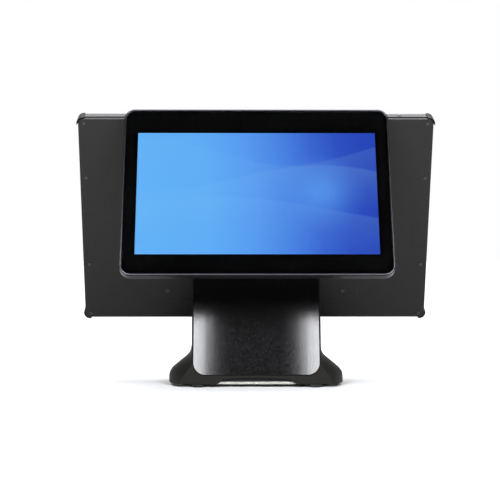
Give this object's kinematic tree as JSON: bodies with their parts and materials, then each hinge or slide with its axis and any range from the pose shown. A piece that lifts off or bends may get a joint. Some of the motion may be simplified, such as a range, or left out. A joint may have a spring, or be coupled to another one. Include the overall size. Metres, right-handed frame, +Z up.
{
  "type": "dual-screen touch terminal",
  "caption": "Counter touch terminal: a slim computer with touchscreen on a leaning pedestal, and a customer display hinged to its back.",
  "frame": {"origin": "on the counter, at the centre of the plan outline, under the tilt hinge", "axes": "+X to the right as the customer sees it, -Y towards the customer, +Z up"},
  "size_m": [0.3976, 0.2656, 0.3023],
  "materials": {
    "base_plastic": "fine-textured matte dark grey",
    "plated_steel": "zinc-plated, dull",
    "rubber": "matte",
    "neck_plastic": "fine-textured matte dark grey",
    "satin_cover": "satin, grained, dark anodised",
    "black_steel": "black-coated steel",
    "bezel_metal": "dark grey anodised",
    "cover_glass": "black-printed, polished",
    "screen": "lit display with a plain blue gradient",
    "powder_coat": "charcoal, textured powder coat",
    "panel_coat": "charcoal, fine powder coat",
    "chassis_steel": "plated sheet",
    "screw_black": "black oxide",
    "board_green": "circuit board",
    "fin_aluminium": "milled",
    "chip_black": "moulded",
    "port_metal": "tin-plated shells",
    "port_plastic": "black moulded",
    "cast_arm": "black-coated casting",
    "display_rim": "dark anodised, fine-blasted",
    "back_plastic": "fine-textured matte black",
    "cap_plastic": "matte",
    "button_plastic": "satin dark grey"
  },
  "bodies": {
    "base": {"base_housing": "base_plastic", "base_plate": "plated_steel", "rubber_feet": "rubber", "base_plate_screws": "screw_black", "neck_front_shell": "neck_plastic", "neck_rear_cover": "neck_plastic", "neck_cover_plate": "satin_cover", "neck_spine": "plated_steel", "spine_bolts": "plated_steel", "hinge_shafts": "plated_steel", "hinge_washers": "plated_steel", "hinge_nuts": "plated_steel"},
    "main_unit": {"main_front_frame": "bezel_metal", "main_glass": "cover_glass", "main_lcd_module": "screen", "lcd_side_brackets": "chassis_steel", "main_chassis": "chassis_steel", "chassis_screws": "screw_black", "mainboard": "board_green", "mainboard_screws": "plated_steel", "cpu_heatsink": "fin_aluminium", "memory_module": "board_green", "solid_state_drive": "chip_black", "speakers": "chip_black", "main_rear_cover": "powder_coat", "rear_cover_screws": "screw_black", "service_panel": "panel_coat", "service_panel_screws": "screw_black", "corner_caps": "cap_plastic", "lan_port": "port_metal", "serial_ports": "port_metal", "cash_drawer_port": "port_plastic", "usb_ports": "port_metal", "power_jack": "port_plastic", "io_bracket": "chassis_steel", "main_hinge_plate": "black_steel", "hinge_plate_screws": "screw_black", "display_arm": "cast_arm", "display_arm_washers": "plated_steel", "display_arm_screws": "screw_black", "power_switch_board": "board_green"},
    "customer_display": {"customer_frame": "display_rim", "customer_glass": "cover_glass", "customer_lcd_module": "screen", "customer_back_cover": "back_plastic", "customer_back_screws": "screw_black", "customer_driver_board": "board_green", "customer_hinge_block": "cast_arm", "customer_hinge_screws": "screw_black", "customer_pivot_pin": "plated_steel"},
    "power_button": {"power_button": "button_plastic"}
  },
  "joints": [
    {"name": "main_tilt", "type": "hinge", "parent": "base", "child": "main_unit", "pos_m": [0, -0.008, 0.176], "axis": [1, 0, 0], "range_deg": [-18, 18]},
    {"name": "customer_tilt", "type": "hinge", "parent": "main_unit", "child": "customer_display", "pos_m": [0, -0.04979, 0.22547], "axis": [1, 0, 0], "range_deg": [-4, 15]},
    {"name": "power_press", "type": "slide", "parent": "main_unit", "child": "power_button", "axis": [0, 0.3551, -0.9348], "range_m": [0, 0.0006], "stiffness_N_per_m": 800, "springref_m": -0.001}
  ]
}
